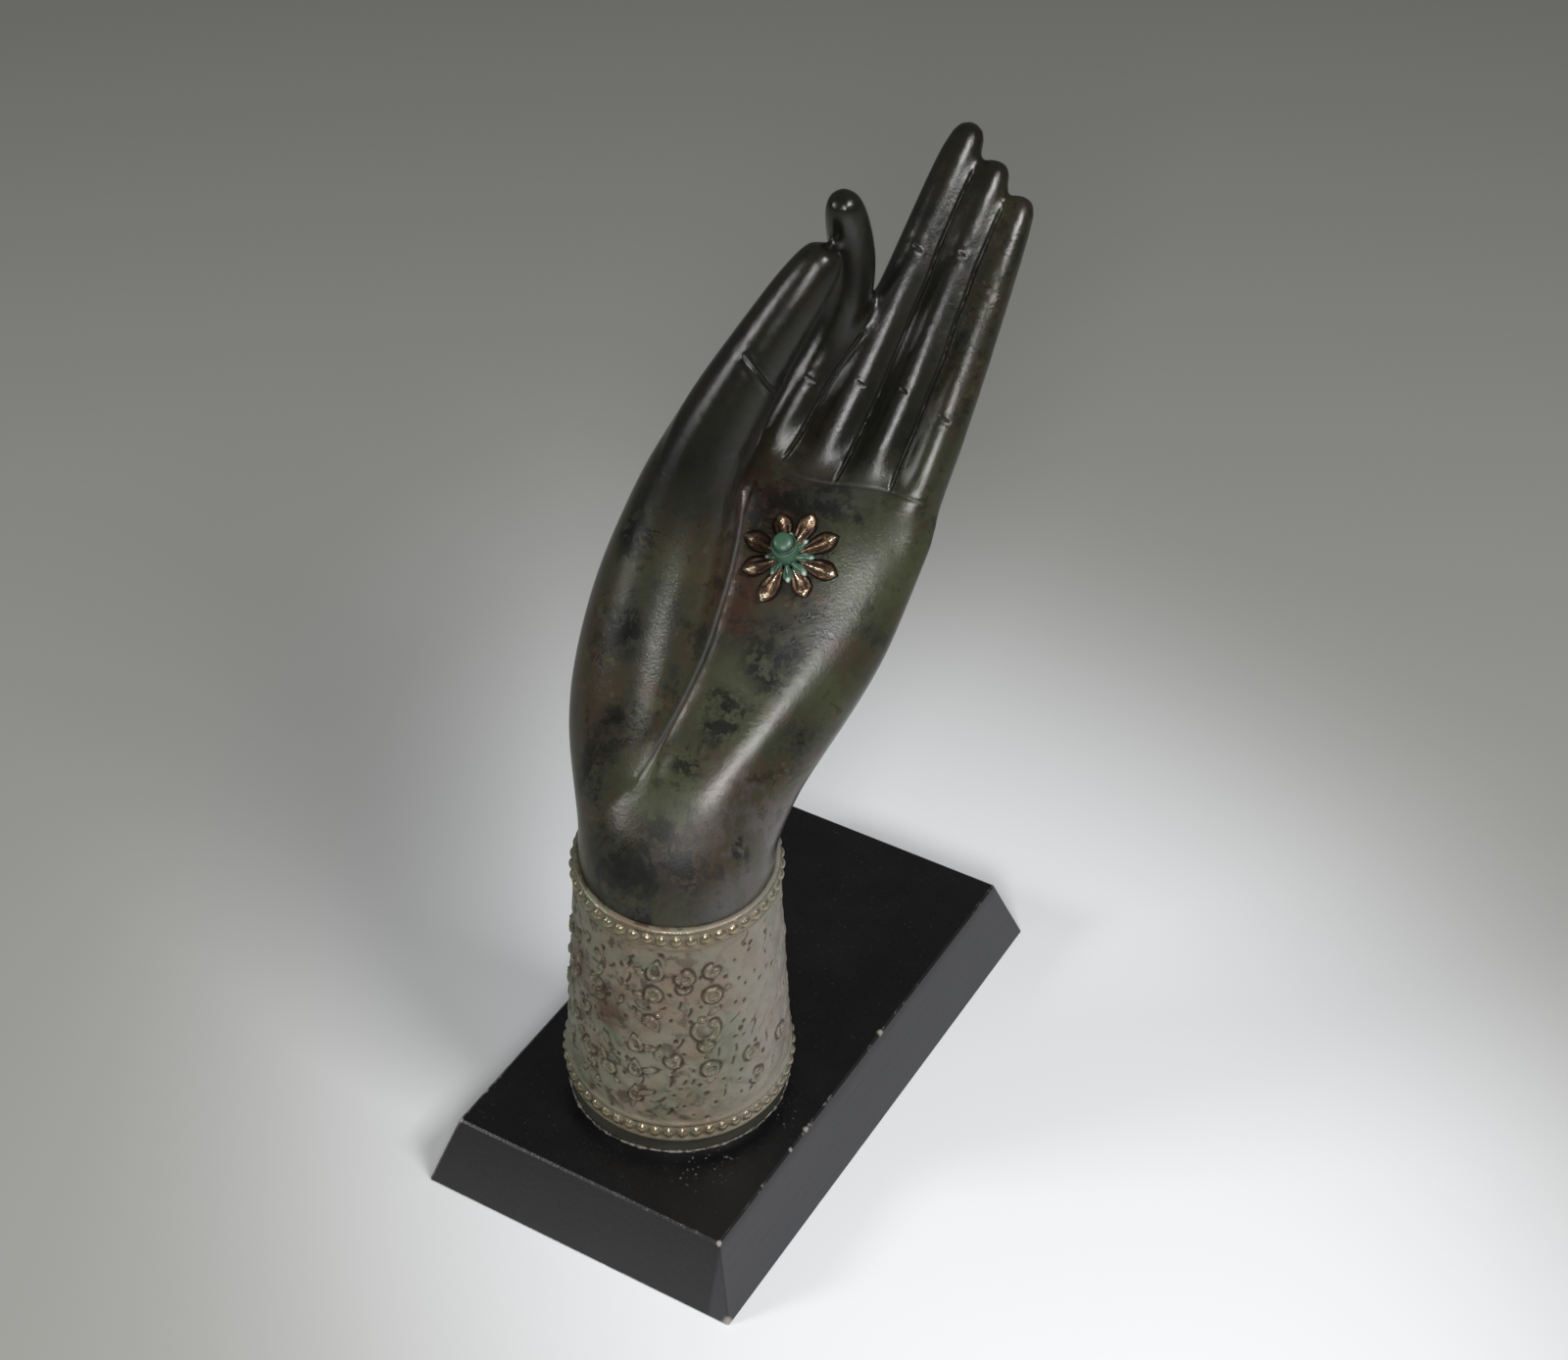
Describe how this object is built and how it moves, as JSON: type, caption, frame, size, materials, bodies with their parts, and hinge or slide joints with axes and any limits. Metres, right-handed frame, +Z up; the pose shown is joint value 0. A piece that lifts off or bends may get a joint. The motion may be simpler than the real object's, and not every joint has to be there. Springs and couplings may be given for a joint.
{
  "type": "hand figurine",
  "caption": "Raised hand with thumb and bent index finger forward of three straight joined fingers, with a beaded cuff and palm rosette, on a sloped rectangular plinth.",
  "frame": {"origin": "centre of the plinth's flat underside", "axes": "+Z up, Y along the plinth, -Y the way the palm faces, X across the plinth with the little finger at +X"},
  "size_m": [0.1168, 0.2103, 0.32],
  "materials": {
    "plinth": "black satin paint",
    "hand": "dark bronze patina, satin",
    "cuff": "pale verdigris over worn metal",
    "rosette": "worn gilt",
    "boss": "green enamel",
    "screw": "plain",
    "washer": "zinc plate"
  },
  "bodies": {
    "root": {"plinth": "plinth", "hand": "hand", "cuff": "cuff", "palm_rosette": "rosette", "rosette_boss": "boss", "fixing_screw": "screw", "washer": "washer"}
  },
  "joints": []
}
